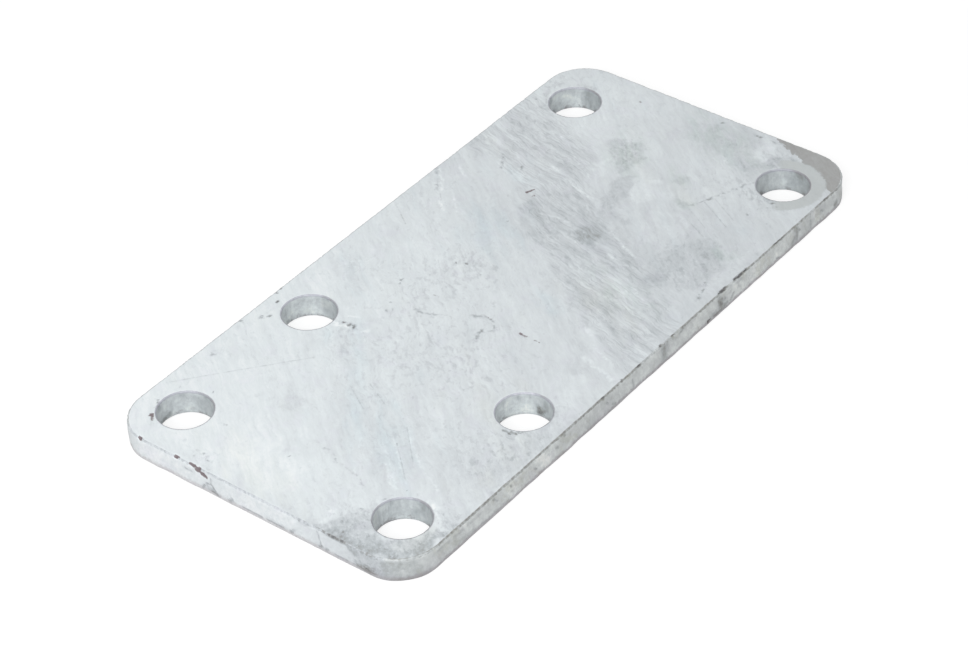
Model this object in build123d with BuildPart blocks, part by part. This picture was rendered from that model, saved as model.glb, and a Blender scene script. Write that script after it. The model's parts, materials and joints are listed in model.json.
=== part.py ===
"""Rectangular cover plate: one flat steel plate with rounded corners and six bolt holes.

The plate is cut from flat stock, drilled, deburred and hot-dip galvanised. Four of its holes
stand at the corners, and a second pair stands further in from one end, on the same two rows.
The origin is at the centre of the underside, +X runs along the length and +Z is up.
"""

import os

from build123d import *

# Plate, mm
plate_length = 225
plate_width = 110
plate_thickness = 8
corner_radius = 14
edge_round = 0.6  # outer edges, softened by the zinc

# Bolt holes, mm
hole_diameter = 16.5
rim_chamfer = 0.4  # mouths of the holes, broken top and bottom
row_margin = 15  # from a long edge to the row of holes beside it
near_margin = 17  # from the -X end to the near pair
far_margin = 20.5  # from the +X end to the far pair
inner_pitch = 55  # from the near pair to the inner pair

# Centre lines of the holes
row_y = plate_width / 2 - row_margin
near_x = -plate_length / 2 + near_margin
inner_x = near_x + inner_pitch
far_x = plate_length / 2 - far_margin
hole_centres = [(x, y) for x in (near_x, inner_x, far_x) for y in (-row_y, row_y)]


with BuildPart() as cover_plate:
    # The blank, cut to its outline
    with BuildSketch():
        RectangleRounded(plate_length, plate_width, corner_radius)
    extrude(amount=plate_thickness)
    fillet(cover_plate.faces().filter_by(Axis.Z).edges(), radius=edge_round)

    # The bolt holes, plain and right through
    with Locations(*hole_centres):
        Hole(hole_diameter / 2)
    hole_rims = cover_plate.edges(Select.LAST).filter_by(GeomType.CIRCLE)
    chamfer(hole_rims, length=rim_chamfer)


cover_plate.part.label = "cover_plate"
os.makedirs("parts", exist_ok=True)
export_step(cover_plate.part, "parts/cover_plate.step")
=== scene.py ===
"""Rectangular cover plate, hot-dip galvanised: its zinc skin, cut edges and bolt holes, and the stage."""

import json
import math

import bpy
import numpy as np
from mathutils import Matrix, Vector, noise
from mathutils.geometry import delaunay_2d_cdt


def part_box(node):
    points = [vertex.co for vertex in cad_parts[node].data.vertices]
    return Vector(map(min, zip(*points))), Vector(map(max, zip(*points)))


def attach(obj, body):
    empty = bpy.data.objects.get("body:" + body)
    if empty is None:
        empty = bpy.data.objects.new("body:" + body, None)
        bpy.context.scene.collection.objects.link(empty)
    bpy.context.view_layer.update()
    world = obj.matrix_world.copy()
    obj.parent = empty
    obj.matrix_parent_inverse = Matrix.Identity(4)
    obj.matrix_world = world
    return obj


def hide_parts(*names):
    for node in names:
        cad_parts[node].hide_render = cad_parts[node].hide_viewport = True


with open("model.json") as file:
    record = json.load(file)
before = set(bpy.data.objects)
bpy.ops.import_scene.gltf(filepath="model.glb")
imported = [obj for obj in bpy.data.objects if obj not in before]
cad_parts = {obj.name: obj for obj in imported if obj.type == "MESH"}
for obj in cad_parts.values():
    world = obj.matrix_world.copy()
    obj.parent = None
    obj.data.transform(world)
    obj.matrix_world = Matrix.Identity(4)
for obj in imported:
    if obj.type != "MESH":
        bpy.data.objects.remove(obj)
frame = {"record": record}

bl_info = {
    "name": "Galvanised cover plate",
    "version": (1, 0, 0),
    "blender": (4, 5, 0),
    "location": "View3D > Sidebar > Plate",
    "description": "Builds a hot-dip galvanised steel cover plate and a plain stage for it",
    "category": "Object",
}

NODE = "cover_plate"
MM = 0.001
MOUNTS = {mount["name"]: mount for mount in frame["record"]["mounts"]}
BOX_LOW, BOX_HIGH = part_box(NODE)


def hole_centres():
    """Centres of the six bolt holes, in mm, worked out from the two bolt patterns."""
    centres = []
    for name in ("corner_bolts", "inner_bolts"):
        mount = MOUNTS[name]
        middle = mount["pos_m"][0] / MM
        half_x = mount["dims"].get("spacing_x_mm", 0) / 2
        half_y = mount["dims"]["spacing_y_mm"] / 2
        for x in sorted({middle - half_x, middle + half_x}):
            centres += [(x, -half_y), (x, half_y)]
    return sorted(centres)


HOLES = hole_centres()
HOLE_RADIUS = MOUNTS["corner_bolts"]["dims"]["hole_r_mm"]
FAR_X, ROW_Y = HOLES[-1]
LOW_X, LOW_Y = BOX_LOW.x / MM, BOX_LOW.y / MM
HIGH_X, HIGH_Y = BOX_HIGH.x / MM, BOX_HIGH.y / MM
THICKNESS = (BOX_HIGH.z - BOX_LOW.z) / MM

# ---------------------------------------------------------------- settings


def linear(red, green, blue):
    """A colour written in screen values from 0 to 255, as the linear values that the shader takes."""

    def one(value):
        value /= 255
        return value / 12.92 if value <= 0.04045 else ((value + 0.055) / 1.055) ** 2.4

    return (one(red), one(green), one(blue))


def length(name, description, default):
    """A length in metres, given here in mm."""
    return bpy.props.FloatProperty(
        name=name, description=description, default=default * MM, unit="LENGTH", precision=5
    )


def number(name, description, default):
    """A plain number."""
    return bpy.props.FloatProperty(name=name, description=description, default=default)


def colour(name, description, *screen):
    """A colour, given here in screen values from 0 to 255."""
    return bpy.props.FloatVectorProperty(
        name=name, description=description, default=linear(*screen), subtype="COLOR", min=0, max=1
    )


class PlateSizes(bpy.types.PropertyGroup):
    """Sizes of the plate's mesh and of the relief in its skin"""

    corner_radius: length("Corner radius", "Radius of the plate's corners in plan", 14)
    top_round: length("Top rounding", "Softened outer edge round the top face", 0.6)
    under_round: length("Under rounding", "Softened outer edge round the underside", 0.5)
    rim_break: length("Rim break", "Broken mouths of the holes", 0.4)
    column_step: length("Column step", "Distance between the mesh columns round the edges", 0.5)
    top_step: length("Top step", "Mesh spacing on the top face", 0.9)
    mark_step: length("Mark step", "Mesh spacing along cracks and scratches", 0.3)
    under_step: length("Under step", "Mesh spacing on the underside", 2.4)
    groove_depth: length("Cutting grooves", "Depth of the upright grooves in the cut edge", 0.12)
    crack_depth: length("Crack depth", "Depth of cracks and pits in the zinc", 0.12)
    rolled_foot: length("Rolled foot", "How far the foot of the cut edge is drawn in", 0.32)
    coat_swell: length("Coat swell", "Low swell of the zinc on the flat faces", 0.05)


class ZincColours(bpy.types.PropertyGroup):
    """Colours of the zinc from chalky film to bare metal, and the casts laid over them"""

    chalk: colour("Chalk", "Thickest white film", 240, 243, 245)
    pale: colour("Pale zinc", "Film on most of the near end", 224, 230, 233)
    middle: colour("Middle zinc", "Ordinary weathered zinc", 204, 209, 213)
    dark: colour("Dark zinc", "Patches where the film is thin", 178, 184, 188)
    bare: colour("Bare zinc", "Smooth metal without the film", 151, 153, 153)
    soot: colour("Soot", "Dirt in pits and cracks", 82, 82, 87)
    rust: colour("Rust", "Iron showing through in chips", 112, 98, 101)
    cool: colour("Cool cast", "Bluish film", 242, 252, 255)
    warm: colour("Warm cast", "Yellowish film", 255, 253, 244)
    mauve: colour("Mauve cast", "Faintly purple film", 253, 247, 255)
    green: colour("Green cast", "Damp patches", 246, 255, 247)


class StageSettings(bpy.types.PropertyGroup):
    """Floor, light and lens"""

    floor: colour("Floor", "Colour of the floor", 175, 175, 175)
    key_power: number("Key lamp", "Power of the soft lamp, W", 7.2)
    sky: number("Sky", "Strength of the surrounding light", 0.62)
    lens: number("Lens", "Focal length of the camera in mm", 117.5)


# ---------------------------------------------------------------- shader maths


class Value:
    """A number socket that Python arithmetic can use: each operation adds its Math node."""

    def __init__(self, graph, socket):
        self.graph = graph
        self.socket = socket

    def __add__(self, other):
        return self.graph.maths("ADD", self, other)

    __radd__ = __add__

    def __sub__(self, other):
        return self.graph.maths("SUBTRACT", self, other)

    def __rsub__(self, other):
        return self.graph.maths("SUBTRACT", other, self)

    def __mul__(self, other):
        return self.graph.maths("MULTIPLY", self, other)

    __rmul__ = __mul__

    def __abs__(self):
        return self.graph.maths("ABSOLUTE", self)

    def least(self, other):
        return self.graph.maths("MINIMUM", self, other)

    def most(self, other):
        return self.graph.maths("MAXIMUM", self, other)


class Graph:
    """Builds the nodes of a material or world. Places are in mm, greys are screen levels from 0 to 255."""

    def __init__(self, owner):
        self.owner = owner
        owner.use_nodes = True
        self.tree = owner.node_tree
        self.tree.nodes.clear()

    def node(self, kind, settings, sockets, output=0):
        """Adds a node: its settings first, then the values or links of its sockets. Gives one output."""
        made = self.tree.nodes.new(kind)
        for key, value in settings.items():
            if key == "stops":
                self.set_stops(made.color_ramp, value)
            elif key == "points":
                self.set_points(made.mapping, value)
            else:
                setattr(made, key, value)
        for key, value in sockets.items():
            value = value.socket if isinstance(value, Value) else value
            if isinstance(value, bpy.types.NodeSocket):
                self.tree.links.new(value, made.inputs[key])
            else:
                made.inputs[key].default_value = value
        return made.outputs[output] if made.outputs else None

    def set_stops(self, ramp, stops):
        """Gives a colour ramp its (position, colour) stops."""
        while len(ramp.elements) < len(stops):
            ramp.elements.new(1.0)
        for element, (position, tint) in zip(ramp.elements, stops):
            element.position = position
            element.color = (*tint, 1.0)

    def set_points(self, mapping, points):
        """Gives a curve its (x, y) points, joined by straight lines."""
        line = mapping.curves[0].points
        while len(line) < len(points):
            line.new(1.0, 1.0)
        for point, (x, y) in zip(line, points):
            point.location = (x, y)
            point.handle_type = "VECTOR"
        mapping.update()

    def maths(self, operation, *values):
        """One operation on numbers."""
        settings = {"operation": operation}
        return Value(self, self.node("ShaderNodeMath", settings, dict(enumerate(values))))

    def vector(self, operation, *vectors, output="Vector"):
        """One operation on vectors, which gives a vector, or a number from the output "Value"."""
        made = self.node("ShaderNodeVectorMath", {"operation": operation}, dict(enumerate(vectors)), output)
        return Value(self, made) if output == "Value" else made

    def place(self):
        """The place on the plate in mm."""
        metres = self.node("ShaderNodeTexCoord", {}, {}, "Object")
        return self.seen_from(metres, sizes=(MM, MM, MM))

    def part(self, vector, axis):
        """A vector's part along an axis: 0 for X, 1 for Y, 2 for Z."""
        return Value(self, self.node("ShaderNodeSeparateXYZ", {}, {0: vector}, axis))

    def seen_from(self, place, centre=(0, 0, 0), turn=0.0, sizes=(1, 1, 1)):
        """A place as measured from centre, along a direction so many degrees from X, in the given sizes."""
        angles = (0, 0, math.radians(turn))
        sockets = {"Vector": place, "Location": centre, "Rotation": angles, "Scale": sizes}
        return self.node("ShaderNodeMapping", {"vector_type": "TEXTURE"}, sockets)

    def cloud(self, place, size=1.0, detail=3.0, roughness=0.5):
        """Soft noise about 0 with a spread of about 1."""
        sockets = {"Vector": place, "Scale": 1 / size, "Detail": detail, "Roughness": roughness}
        found = Value(self, self.node("ShaderNodeTexNoise", {}, sockets))
        return self.maths("MULTIPLY_ADD", found, 10.0, -5.0)

    def strands(self, place, turn, long, wide, detail=4, roughness=0.62, shift=(0, 0, 0)):
        """Soft noise drawn out along a direction, in strands so many mm long and wide."""
        return self.cloud(self.seen_from(place, shift, turn, (long, wide, 1)), 1, detail, roughness)

    def bend(self, place, size, reach, detail=2.0):
        """The place pushed about by soft noise, by up to about reach mm."""
        sockets = {"Vector": place, "Scale": 1 / size, "Detail": detail}
        sway = self.node("ShaderNodeTexNoise", {}, sockets, "Color")
        push = self.vector("MULTIPLY_ADD", sway, (reach * 2, reach * 2, 0), (-reach, -reach, 0))
        return self.node("ShaderNodeMapping", {"vector_type": "POINT"}, {"Vector": place, "Location": push})

    def step(self, value, start, end):
        """0 up to start, 1 from end, and a smooth step between; start may be above end."""
        settings = {"interpolation_type": "SMOOTHSTEP"}
        sockets = {"Value": value, "From Min": start, "From Max": end}
        return Value(self, self.node("ShaderNodeMapRange", settings, sockets))

    def curve(self, value, points):
        """A line through (value, result) points."""
        low_x, high_x = points[0][0], points[-1][0]
        low_y, high_y = min(y for x, y in points), max(y for x, y in points)
        unit = [((x - low_x) / (high_x - low_x), (y - low_y) / (high_y - low_y)) for x, y in points]
        inward = self.maths("MULTIPLY_ADD", value, 1 / (high_x - low_x), -low_x / (high_x - low_x))
        followed = Value(self, self.node("ShaderNodeFloatCurve", {"points": unit}, {"Value": inward}))
        return self.maths("MULTIPLY_ADD", followed, high_y - low_y, low_y)

    def mix(self, factor, first, second, blend="MIX"):
        """A colour between first and second."""
        settings = {"data_type": "RGBA", "blend_type": blend}
        return self.node("ShaderNodeMix", settings, {"Factor": factor, 6: first, 7: second}, 2)

    def blend(self, first, second, factor):
        """A number between first and second."""
        sockets = {0: factor, 2: first, 3: second}
        return Value(self, self.node("ShaderNodeMix", {"data_type": "FLOAT"}, sockets))

    def field(self, name):
        """What the skin's points say of a mark."""
        return Value(self, self.node("ShaderNodeAttribute", {"attribute_name": name}, {}, "Fac"))

    def ray(self, kind):
        """1 for rays of one kind."""
        return Value(self, self.node("ShaderNodeLightPath", {}, {}, kind))

    def cast(self, base, factor, tint):
        """The colour seen through a cast of another."""
        return self.mix(factor, base, (*tint, 1), "MULTIPLY")

    def chipped(self, base, ragged, colours, brown=None):
        """The colour with iron showing in the chips, and elsewhere as far as brown says."""
        share = self.step(self.field("rust") + ragged * 0.07, 0.2, 0.55) * 0.92
        if brown is not None:
            share = brown.most(share)
        return self.mix(share, base, (*colours.rust, 1))

    def zinc_colour(self, level, colours):
        """Colour of the zinc at a grey level."""
        low, high = GREYS["soot"], GREYS["chalk"]
        stops = [((grey - low) / (high - low), getattr(colours, name)) for name, grey in GREYS.items()]
        position = self.maths("MULTIPLY_ADD", level, 1 / (high - low), -low / (high - low))
        return self.node("ShaderNodeValToRGB", {"stops": stops}, {0: position})

    def finish(self, base, roughness, metallic, height, relief):
        """The zinc's surface; the height stands relief mm for each 1."""
        bump = self.node("ShaderNodeBump", {}, {"Strength": 1.0, "Distance": relief * MM, "Height": height})
        sockets = {"Base Color": base, "Roughness": roughness, "Metallic": metallic, "Normal": bump}
        surface = self.node("ShaderNodeBsdfPrincipled", {}, sockets)
        self.node("ShaderNodeOutputMaterial", {}, {"Surface": surface})
        return self.owner


# Grey level at which each colour of the zinc stands
GREYS = {"soot": 83, "bare": 152.5, "dark": 183, "middle": 208, "pale": 228.5, "chalk": 242.5}


# ---------------------------------------------------------------- marks in the zinc, in mm


# Soft ovals: change of grey, softness of the rim as a share of the oval, and the ovals, each as
# (x, y, turn in degrees, half length, half width)
TOP_TONES = (
    (4, 0.7, ((80, -30, 60, 20, 12), (24, -26, 60, 7, 5), (84, 34, 70, 14, 9), (100, 30, 80, 14, 8))),
    (-12, 0.6, ((-108, -31, 60, 4, 2), (-106, -39, 80, 4, 2), (-99, -51, 10, 4, 2), (-110, -46, 80, 5, 2))),
    (-16, 0.8, ((-111.5, -36, 90, 11, 1.6), (-107.5, -51, 135, 7, 1.8), (-96, -54, 0, 6, 1.0))),
    (-4, 0.7, ((-72, -12, 60, 22, 10), (24, 21, 50, 18, 9), (-46, 17, 45, 10, 6), (103, -9, 60, 17, 8))),
    (-5, 0.6, ((-66, -42, 20, 14, 7), (72, 38, 60, 14, 7), (93, -27, 60, 12, 5), (-19, 42, 50, 11, 3))),
    (-9, 0.5, ((-74, 18, 54, 7, 1.7), (-56, -50, 4, 17, 3.4), (31, -36, 20, 5, 4), (51, -42, 60, 6, 4))),
    (-8, 0.5, ((84, -47, 80, 5, 2.2), (80, -19, 65, 5, 1.5), (104, -6, 40, 4, 2.2), (102, -13, 60, 4, 1.8))),
    (-6, 0.5, ((12, -22, 78, 11, 4), (-15, -40, 70, 7, 2.4), (-8, -36, 60, 5, 1.8), (47, 5, 75, 8, 4))),
    (-12, 0.5, (
        (4.8, -36, 82, 6, 1.1), (62, 21, 75, 5, 2.0), (66, 15, 80, 2, 0.9), (28, -20.5, 80, 4, 0.8),
    )),
    (-12, 0.5, ((76.5, -12.5, 75, 3, 1.5), (67.5, -19, 72, 3, 1.1), (48.5, -9.5, 55, 3, 1.2))),
    (-8, 0.8, ((-111.8, -22, 90, 6, 1.2), (-60, -54.2, 0, 40, 0.7), (-96, -54, 0, 8, 1.2))),
    (-14, 0.5, (
        (90, 49.8, 10, 4, 1.1), (84.2, 46, 70, 2.2, 0.9), (82.5, -42.5, 80, 4, 1.2), (100, 39, 95, 4, 0.8),
    )),
    (-12, 0.5, ((-103, -51.5, 20, 6, 2.4), (-110.5, -40, 85, 9, 1.8), (-93, -52, 8, 8, 2.2))),
    (6, 0.6, ((-28, 46, 52, 11, 3), (2, 30, 66, 9, 2.6), (51, -21, 50, 9, 5), (46, -51, 0, 14, 2.4))),
    (6, 0.6, ((-25, -45, 18, 9, 3.4), (-101, 4, 70, 15, 8), (60, 49, 75, 6, 2), (55, 36, 50, 3, 2))),
    (6, 0.6, ((62.5, -6.5, 24, 7, 2.8), (72, -9, 68, 5, 1.3), (50.5, 27, 80, 6, 2.2), (66, -14, 25, 5, 2))),
    (10, 0.5, (
        (104, -26, 42, 6, 2.6), (-107, -22.4, 8, 4, 0.9), (-88, -45.5, 52, 4.6, 1.2), (59, -26, 60, 4, 1.2),
    )),
)

# Patches with a ragged rim: change of grey, softness of the rim in mm, outlines
TOP_PATCHES = (
    (-19, 1.4, (((35, -1.6), (38.6, -3), (38.4, -8.2), (36, -9.8), (32.4, -10.8), (32.8, -6)),)),
    (-8, 1.6, (((38, -3), (46, -2.5), (52, -0.5), (53, -5.2), (50, -6.6), (45, -8), (38, -8.6)),)),
    (-12, 0.9, ((
        (52, -0.6), (56, 1.8), (60, 3.6), (64, 3.6), (70, 0.2), (64, -2.2), (57, -4.2), (52.5, -5.2),
    ),)),
    (-12, 1.6, ((
        (68.5, 6), (74, 11), (77, 18), (82, 18), (85, 12), (87, 9.5), (83, 5.6), (77, 3.2), (71, 4.4),
    ),)),
    (-4, 2.2, ((
        (94, 4), (100, 6), (106, 0), (108, -10), (106, -20), (98, -28), (90, -29), (92, -20), (96, -8),
    ),)),
    (-6, 1.8, ((
        (30, -33), (36, -30), (43, -29), (51, -31.5), (55.5, -37), (57, -44), (50, -48), (34, -47),
    ),)),
    (-7, 1.2, (((25, 10), (30, 15), (34, 18), (41, 20), (48, 19), (46, 10), (38, 2), (30, 2)),)),
    (5, 1.2, (((57, -8), (60, -4.6), (66, -1.6), (76, 3), (74, -6), (66, -12)),)),
    (7, 1.0, (
        ((47.5, 22), (48.5, 33), (52, 35), (54, 32), (52, 22)),
        ((62.5, 9.5), (66, 17), (73.5, 11.5), (66, 9)),
    )),
    (-13, 2.4, ((
        (-114, -22), (-108, -24), (-102, -27), (-96, -30), (-103, -38), (-103, -48), (-99, -57), (-114, -57),
    ),)),
    (-13, 1.0, (((96, -28), (103, -29.5), (107, -33), (104.5, -38), (99.5, -36)),)),
    (-12, 0.8, (
        ((92, -26), (94, -25), (98, -27.5), (96, -28.5)),
        ((104, -35), (106.5, -36), (105.5, -39), (103, -38)),
    )),
    (11, 0.8, (
        ((96, -31.5), (99, -30.5), (100, -32), (97, -33)), ((102, -32), (105, -32.5), (104, -34)),
        ((-107, -36), (-105, -44), (-102.6, -43), (-104, -36)),
    )),
)

# Where the dark grains are thick: how thick, softness, ovals
TOP_MOTTLES = (
    (1.3, 0.6, ((-103, -42, 90, 19, 10), (-92, -51, 0, 10, 5), (80, 11, 40, 10, 6))),
    (0.9, 0.7, ((44, -39, 20, 14, 10), (4, 12, 70, 13, 8), (-56, -47, 5, 22, 7), (-20, 5, 50, 34, 16))),
    (0.7, 0.7, ((-50, -32, 50, 24, 12), (72, 34, 70, 16, 9), (-48, 12, 50, 24, 10), (88, -25, 50, 14, 8))),
    (1.2, 0.5, ((82, -42, 85, 10, 3), (91, 50, 5, 9, 3), (102, -33, 60, 7, 5), (-108, 24, 80, 8, 3))),
)

# Cool places below 0 and warm ones above
TOP_HUES = (
    (-1.0, 0.7, ((-72, -14, 60, 21, 9), (24, 22, 50, 17, 9), (4, -14, 70, 9, 3), (50, 28, 80, 8, 3))),
    (-0.7, 0.7, ((-18, 42, 52, 14, 5), (-44, 18, 50, 16, 7), (33, -36, 20, 7, 5))),
    (1.0, 0.7, ((-104, 5, 80, 22, 7), (-42, -31, 60, 14, 9), (12, -33, 78, 16, 6), (-100, -48, 20, 12, 5))),
    (0.7, 0.7, ((-58, -49, 4, 20, 4), (72, -14, 70, 10, 4), (78, 9, 40, 11, 5), (60, 48, 80, 9, 4))),
)

GREEN_PATCHES = (
    (1.0, 0.4, ((101, -11, 66, 17, 7), (53, -45, 60, 5, 3), (78, 9, 40, 12, 6))),
    (0.8, 0.6, ((76.5, -12, 70, 6, 3), (20, -30, 78, 14, 6), (67, -20, 70, 4, 2))),
)

# Lines: depth from 0 to 1, half width, lines
TOP_CRACKS = (
    (0.14, 0.3, (
        ((-84.5, 1), (-85, -6), (-87.5, -10), (-89.5, -20), (-91.5, -23)),
        ((26, 42.5), (32, 49), (39, 54.3)),
    )),
    (0.2, 0.3, (((-93.8, 28), (-93.4, 25.3)), ((-21, 16), (-21.5, 12), (-20, 9), (-18.5, 4)))),
    (0.8, 0.5, (((-38.5, 28.5), (-37.6, 24.8), (-39.6, 23.8)),)),
    (0.36, 0.4, (
        ((-24.5, -7.5), (-23, -9.5), (-21.5, -8), (-18, -7.5)), ((38, -48.6), (34, -50), (30, -51)),
    )),
    (0.28, 0.36, (
        ((-18, -9), (-16, -10.5), (-13, -8), (-12.3, -4), (-14, -1)),
        ((-14.5, 26.4), (-13.2, 27.4), (-11.5, 27)),
    )),
    (0.22, 0.34, (((50, 37), (56, 41.5)), ((53, 32), (57, 33)), ((-71, 49), (-72, 50.3), (-70.6, 51)))),
    (0.26, 0.3, (((66, -21.6), (70, -24), (75, -26), (80, -28), (88, -32)),)),
    (0.3, 0.34, (
        ((109.6, -17.5), (109.8, -20.5)), ((109.6, -24), (110, -29)), ((-109.8, 52), (-112, 44), (-112, 41)),
    )),
    (0.5, 0.4, (((-96.5, 49.4), (-97.5, 48.2), (-100, 47.6)), ((-50.6, -40), (-50.2, -42.5), (-48, -45.4)))),
)

TOP_SCRATCHES = (
    (0.13, 0.22, (((-88.5, 52), (-75, 41), (-56, 25)), ((60, -27), (56, -35)), ((66, -22), (60, -33)))),
    (0.15, 0.22, (
        ((71, -25), (64, -38)), ((74, -27), (68, -38)), ((-65, -17), (-76, -28)), ((-72, -19), (-83, -31)),
        ((-60, 8), (-66, -2)), ((-56, 4), (-61, -6)), ((10, 44), (17, 54)), ((64, 38), (68, 47)),
    )),
)

# Bright lines: change of grey, half width, lines
TOP_STREAKS = (
    (11, 0.9, (((2, -28), (-1, -36)), ((-11, -39.5), (-14.5, -52)), ((-86, -42), (-93, -52)))),
    (11, 0.45, (
        ((-79, -37.5), (-81.5, -42)), ((60.5, 27), (58, 20)), ((38, 13), (40, 0)), ((24, -31), (19, -42)),
    )),
    (12, 0.35, (
        ((55, 14), (52.5, 1)), ((67.5, 22), (62, 12)), ((43, -9), (36, -24)), ((33, -16), (31, -26)),
    )),
    (11, 0.4, (
        ((22, 38.5), (25, 42), (30, 46.5)), ((30, 45), (39, 53.5)), ((40, 44), (46, 53)),
        ((24, 35), (33, 44)),
    )),
    (9, 0.35, (
        ((-71, -17), (-84, -32)), ((-66, -18), (-76, -31)), ((-75, -17), (-87, -31)),
        ((-80, -21), (-88, -31)),
    )),
    (9, 0.4, (
        ((91, -22), (94.5, -15.5)), ((74.6, 37), (74, 30)), ((-2, -40), (-1, -50)), ((-5, -38), (-9, -48)),
    )),
    (22, 0.6, (((-40.3, 31), (-39.2, 26.5)),)),
    (10, 0.5, (((-35.5, 30), (-34, 26)), ((-41, 22.6), (-37, 20)), ((16, -28), (14, -40)))),
)

TOP_RUST = (
    (0.5, 0.45, (((-38.4, 28.4), (-37.5, 25)), ((44, 23.4), (47.6, 21.6)), ((43, 20.4), (45, 20)))),
    (0.36, 0.4, (
        ((-12.4, 14.5), (-12.4, 12.5)), ((-12.2, -11), (-12.2, -14)), ((-12.6, -17.5), (-12.9, -20)),
    )),
    (0.34, 0.4, (((-12.1, -3), (-12.3, -8)), ((-12.9, -23.5), (-13, -25)), ((102.6, 22), (105.4, 23)))),
    (0.6, 0.7, (((-103.6, 45), (-102.2, 46.6)),)),
)

# Pits: how dark from 0 to 1, radius, centres
TOP_PITS = (
    (0.46, 0.54, (
        (-48.5, 48.8), (-41.8, 51), (-50, 50.2), (86.4, 51.4), (109.4, -5.5), (94, -49.6), (93.6, -51),
    )),
    (0.5, 0.63, (
        (-49.6, -42.6), (-47.4, -45.6), (82.4, -42.6), (81.5, -45), (-55.5, 54.3), (-39, 54.3),
        (-36.8, 54.3),
    )),
    (0.31, 0.41, (
        (-84.5, 39), (-88.5, 48), (-99, 17.5), (-93.5, 2), (-99, -17.5), (-20, 29), (-13.6, 24.2),
        (-12.5, 32.4), (-23, 23.2), (-27, 21.8), (-25.3, 20.6), (45, -42.5), (72.5, -47), (29, 18.5),
    )),
    (0.34, 0.41, (
        (-109.3, 25), (-108.4, 20), (-106.5, 23), (3.5, 19), (5, 16), (7, 18), (6, 12), (3, 9), (8, 7),
    )),
    (0.31, 0.36, (
        (-102, -26), (-99, -28), (-106, -27), (-109, -30), (-92, -31), (-86, -34), (-85.5, -37), (-97, -50),
    )),
    (0.31, 0.41, (
        (98, -30), (101, -32), (103, -34.5), (99.5, -35.5), (77, -41), (73, -39.4), (79, -43), (96, 33),
    )),
)

# Where the smooth bare corner begins: how far along, at each place across
BARE_EDGE = ((-56, 95), (-53, 97), (-46, 100), (-41, 102.5), (-38, 106), (-33, 108), (-28, 110), (-23, 113))

# Marks on the near edge, as (y, height)
NEAR_TONES = (
    (5, 0.6, ((-4, 5, 0, 12, 5), (33, 5, 0, 12, 5))),
    (-7, 0.6, ((-28, 4, 0, 9, 5), (-42, 4, 0, 7, 5), (-2, 5.5, 60, 1.6, 0.8), (24, 5.8, 170, 2, 0.5))),
    (-13, 0.5, ((-18.2, 7.5, 0, 2.2, 0.9), (-8, 2.2, 10, 4, 0.9), (14, 1.8, 0, 1.5, 0.8))),
    (-24, 0.5, (
        (-36.2, 6.5, 20, 2.1, 1.2), (-41, 7.6, 0, 3.2, 0.7), (-40, 2.8, 0, 3.8, 0.8),
        (-40, 2.6, 0, 3.6, 0.6), (16, 2.2, 0, 1.6, 0.8),
    )),
    (-40, 0.5, (
        (-30, 7.8, 0, 4.4, 0.7), (14, 1.5, 10, 1.3, 0.5), (-40, 1.6, 0, 3.6, 0.6), (-30, 8, 0, 2.4, 0.5),
    )),
    (12, 0.5, ((-8.3, 2.8, 60, 0.8, 0.3), (-25.2, 3.4, 70, 1.0, 0.4))),
)
# Dark lines on the near edge: the long line at height 8.1 that runs the whole edge is a painted shade line
# on the arris; the others are cracks and dark marks
NEAR_CRACKS_AND_ARRIS_SHADE = (
    (0.5, 0.5, (((-27.6, 8.1), (-30, 8.0), (-32.4, 8.1)),)),
    (0.14, 0.3, (((-46, 8.1), (-20, 8.15), (10, 8.1), (46, 8.1)),)),
    (0.4, 0.34, (
        ((18.9, 1.3), (18.2, 2.6), (17, 3.9), (15.8, 4.3)), ((15.8, 4.3), (14.8, 3.5), (13.8, 2.2)),
    )),
    (0.25, 0.3, (((15.8, 4.4), (15.2, 6)), ((-23.5, 7), (-24.2, 4.5), (-24.8, 2)), ((25, 5.7), (22.5, 6)))),
    (0.35, 0.5, (
        ((9, 1.4), (7.8, 2.6)), ((-13.6, 1.5), (-14.8, 2.8)), ((-24, 1.5), (-24.8, 2.1)),
        ((-26.4, 1.5), (-27, 2)),
    )),
    (0.3, 0.4, (
        ((4, 1.6), (-3, 1.5)), ((-5, 1.7), (-8, 1.6)), ((-8.8, 1.6), (-11, 1.6)), ((-30, 1.5), (-34, 1.5)),
    )),
)
# Chips through the zinc: centre along the edge, height, half length, half height, depth
NEAR_CHIPS = (
    (42.3, 8.0, 0.9, 0.8, 0.45), (28.4, 8.1, 0.85, 0.65, 0.4), (22.4, 8.25, 1.2, 0.45, 0.3),
    (20.2, 7.4, 1.0, 1.1, 0.4), (18.3, 6.5, 0.8, 0.8, 0.35), (17.2, 6.0, 0.5, 0.5, 0.25),
)

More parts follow.
